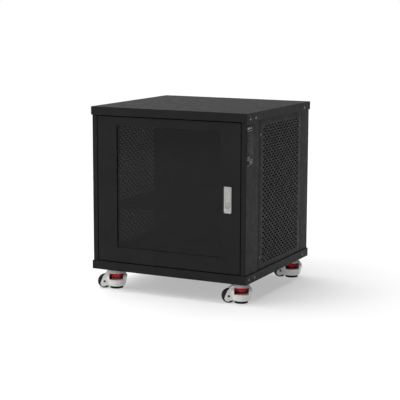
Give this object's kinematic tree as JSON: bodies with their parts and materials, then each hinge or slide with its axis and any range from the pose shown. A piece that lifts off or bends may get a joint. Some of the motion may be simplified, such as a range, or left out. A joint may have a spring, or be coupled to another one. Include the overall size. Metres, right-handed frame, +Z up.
{
  "type": "network server rack cabinet",
  "caption": "Low square equipment cabinet with a smoked-glass front door, perforated side panels, inner mounting rails, and swivel casters that carry levelling feet.",
  "frame": {"origin": "on the floor under the middle of the cabinet", "axes": "+Z up, -Y towards the glass front door, +X to the right seen from the front"},
  "size_m": [0.6, 0.56, 0.654],
  "materials": {
    "black_powder_coat": "fine-textured matte black powder coat on sheet steel",
    "smoked_glass": "dark grey tinted tempered glass, polished",
    "black_rubber": "matte moulded rubber",
    "latch_satin_metal": "satin silver zinc die casting",
    "zinc_plated_steel": "bright zinc plating",
    "caster_white": "light grey enamel on die-cast aluminium, satin",
    "thumbwheel_red": "moulded red plastic, satin",
    "wheel_nylon": "black nylon, satin tread"
  },
  "bodies": {
    "cabinet": {"base_tray": "black_powder_coat", "top_cover": "black_powder_coat", "equipment_shelf": "black_powder_coat", "left_side_panel": "black_powder_coat", "left_lower_brace": "black_powder_coat", "left_upper_brace": "black_powder_coat", "right_side_panel": "black_powder_coat", "right_lower_brace": "black_powder_coat", "right_upper_brace": "black_powder_coat", "front_left_post": "black_powder_coat", "front_left_rail": "black_powder_coat", "front_left_caster_plate": "zinc_plated_steel", "front_right_post": "black_powder_coat", "front_right_rail": "black_powder_coat", "front_right_caster_plate": "zinc_plated_steel", "rear_left_post": "black_powder_coat", "rear_left_rail": "black_powder_coat", "rear_left_caster_plate": "zinc_plated_steel", "rear_right_post": "black_powder_coat", "rear_right_rail": "black_powder_coat", "rear_right_caster_plate": "zinc_plated_steel"},
    "front_door": {"door_frame": "black_powder_coat", "door_glass": "smoked_glass", "glass_gasket": "black_rubber", "front_door_upper_pin": "zinc_plated_steel", "front_door_lower_pin": "zinc_plated_steel", "latch_housing": "latch_satin_metal"},
    "latch_lever": {"latch_lever": "latch_satin_metal"},
    "latch_push_button": {"latch_push_button": "latch_satin_metal"},
    "latch_key_plug": {"latch_key_plug": "zinc_plated_steel"},
    "latch_bolt": {"latch_bolt": "zinc_plated_steel"},
    "rear_door": {"rear_door_panel": "black_powder_coat", "rear_door_upper_pin": "zinc_plated_steel", "rear_door_lower_pin": "zinc_plated_steel", "rear_lock_barrel": "latch_satin_metal"},
    "rear_lock_cam": {"rear_lock_cam": "zinc_plated_steel"},
    "front_left_caster": {"front_left_caster_housing": "caster_white", "front_left_caster_axle": "zinc_plated_steel"},
    "front_left_wheel": {"front_left_caster_wheel": "wheel_nylon"},
    "front_left_thumbwheel": {"front_left_thumbwheel": "thumbwheel_red"},
    "front_left_foot": {"front_left_foot_stem": "zinc_plated_steel", "front_left_foot_pad": "black_rubber"},
    "front_right_caster": {"front_right_caster_housing": "caster_white", "front_right_caster_axle": "zinc_plated_steel"},
    "front_right_wheel": {"front_right_caster_wheel": "wheel_nylon"},
    "front_right_thumbwheel": {"front_right_thumbwheel": "thumbwheel_red"},
    "front_right_foot": {"front_right_foot_stem": "zinc_plated_steel", "front_right_foot_pad": "black_rubber"},
    "rear_left_caster": {"rear_left_caster_housing": "caster_white", "rear_left_caster_axle": "zinc_plated_steel"},
    "rear_left_wheel": {"rear_left_caster_wheel": "wheel_nylon"},
    "rear_left_thumbwheel": {"rear_left_thumbwheel": "thumbwheel_red"},
    "rear_left_foot": {"rear_left_foot_stem": "zinc_plated_steel", "rear_left_foot_pad": "black_rubber"},
    "rear_right_caster": {"rear_right_caster_housing": "caster_white", "rear_right_caster_axle": "zinc_plated_steel"},
    "rear_right_wheel": {"rear_right_caster_wheel": "wheel_nylon"},
    "rear_right_thumbwheel": {"rear_right_thumbwheel": "thumbwheel_red"},
    "rear_right_foot": {"rear_right_foot_stem": "zinc_plated_steel", "rear_right_foot_pad": "black_rubber"}
  },
  "joints": [
    {"name": "front_door_hinge", "type": "hinge", "parent": "cabinet", "child": "front_door", "pos_m": [-0.2685, -0.2695, 0.3645], "axis": [0, 0, -1], "range_deg": [0, 105]},
    {"name": "rear_door_hinge", "type": "hinge", "parent": "cabinet", "child": "rear_door", "pos_m": [0.2685, 0.2695, 0.3645], "axis": [0, 0, -1], "range_deg": [0, 105]},
    {"name": "latch_lever_pivot", "type": "hinge", "parent": "front_door", "child": "latch_lever", "pos_m": [0.23, -0.277, 0.3986], "axis": [-1, 0, 0], "range_deg": [0, 40]},
    {"name": "latch_button_press", "type": "slide", "parent": "front_door", "child": "latch_push_button", "axis": [0, 1, 0], "range_m": [0, 0.003], "stiffness_N_per_m": 400, "springref_m": -0.003},
    {"name": "latch_key_turn", "type": "hinge", "parent": "latch_push_button", "child": "latch_key_plug", "pos_m": [0.23, -0.272, 0.3416], "axis": [0, 1, 0], "range_deg": [0, 90]},
    {"name": "latch_bolt_slide", "type": "slide", "parent": "front_door", "child": "latch_bolt", "axis": [1, 0, 0], "range_m": [0, 0.012]},
    {"name": "rear_lock_turn", "type": "hinge", "parent": "rear_door", "child": "rear_lock_cam", "pos_m": [-0.24, 0.268, 0.361], "axis": [0, -1, 0], "range_deg": [0, 90]},
    {"name": "front_left_caster_swivel", "type": "hinge", "parent": "cabinet", "child": "front_left_caster", "pos_m": [-0.246, -0.226, 0.066], "axis": [0, 0, 1], "continuous": true},
    {"name": "front_left_wheel_spin", "type": "hinge", "parent": "front_left_caster", "child": "front_left_wheel", "pos_m": [-0.27365, -0.24002, 0.025], "axis": [-0.4524, 0.8918, 0], "continuous": true},
    {"name": "front_left_thumbwheel_turn", "type": "hinge", "parent": "front_left_caster", "child": "front_left_thumbwheel", "pos_m": [-0.23574, -0.2208, 0.042], "axis": [0, 0, 1], "range_deg": [-1440, 450]},
    {"name": "front_left_foot_lift", "type": "slide", "parent": "front_left_caster", "child": "front_left_foot", "axis": [0, 0, 1], "range_m": [-0.008, 0.0025]},
    {"name": "front_right_caster_swivel", "type": "hinge", "parent": "cabinet", "child": "front_right_caster", "pos_m": [0.246, -0.226, 0.066], "axis": [0, 0, 1], "continuous": true},
    {"name": "front_right_wheel_spin", "type": "hinge", "parent": "front_right_caster", "child": "front_right_wheel", "pos_m": [0.21835, -0.24002, 0.025], "axis": [-0.4524, 0.8918, 0], "continuous": true},
    {"name": "front_right_thumbwheel_turn", "type": "hinge", "parent": "front_right_caster", "child": "front_right_thumbwheel", "pos_m": [0.25626, -0.2208, 0.042], "axis": [0, 0, 1], "range_deg": [-1440, 450]},
    {"name": "front_right_foot_lift", "type": "slide", "parent": "front_right_caster", "child": "front_right_foot", "axis": [0, 0, 1], "range_m": [-0.008, 0.0025]},
    {"name": "rear_left_caster_swivel", "type": "hinge", "parent": "cabinet", "child": "rear_left_caster", "pos_m": [-0.246, 0.226, 0.066], "axis": [0, 0, 1], "continuous": true},
    {"name": "rear_left_wheel_spin", "type": "hinge", "parent": "rear_left_caster", "child": "rear_left_wheel", "pos_m": [-0.27365, 0.21197, 0.025], "axis": [-0.4524, 0.8918, 0], "continuous": true},
    {"name": "rear_left_thumbwheel_turn", "type": "hinge", "parent": "rear_left_caster", "child": "rear_left_thumbwheel", "pos_m": [-0.23574, 0.2312, 0.042], "axis": [0, 0, 1], "range_deg": [-1440, 450]},
    {"name": "rear_left_foot_lift", "type": "slide", "parent": "rear_left_caster", "child": "rear_left_foot", "axis": [0, 0, 1], "range_m": [-0.008, 0.0025]},
    {"name": "rear_right_caster_swivel", "type": "hinge", "parent": "cabinet", "child": "rear_right_caster", "pos_m": [0.246, 0.226, 0.066], "axis": [0, 0, 1], "continuous": true},
    {"name": "rear_right_wheel_spin", "type": "hinge", "parent": "rear_right_caster", "child": "rear_right_wheel", "pos_m": [0.21835, 0.21197, 0.025], "axis": [-0.4524, 0.8918, 0], "continuous": true},
    {"name": "rear_right_thumbwheel_turn", "type": "hinge", "parent": "rear_right_caster", "child": "rear_right_thumbwheel", "pos_m": [0.25626, 0.2312, 0.042], "axis": [0, 0, 1], "range_deg": [-1440, 450]},
    {"name": "rear_right_foot_lift", "type": "slide", "parent": "rear_right_caster", "child": "rear_right_foot", "axis": [0, 0, 1], "range_m": [-0.008, 0.0025]}
  ],
  "couplings": [
    {"joint": "latch_key_turn", "follows": "latch_bolt_slide", "rad_per_m": 130.9},
    {"joint": "front_left_thumbwheel_turn", "follows": "front_left_foot_lift", "rad_per_m": 3141.6},
    {"joint": "front_right_thumbwheel_turn", "follows": "front_right_foot_lift", "rad_per_m": 3141.6},
    {"joint": "rear_left_thumbwheel_turn", "follows": "rear_left_foot_lift", "rad_per_m": 3141.6},
    {"joint": "rear_right_thumbwheel_turn", "follows": "rear_right_foot_lift", "rad_per_m": 3141.6}
  ]
}
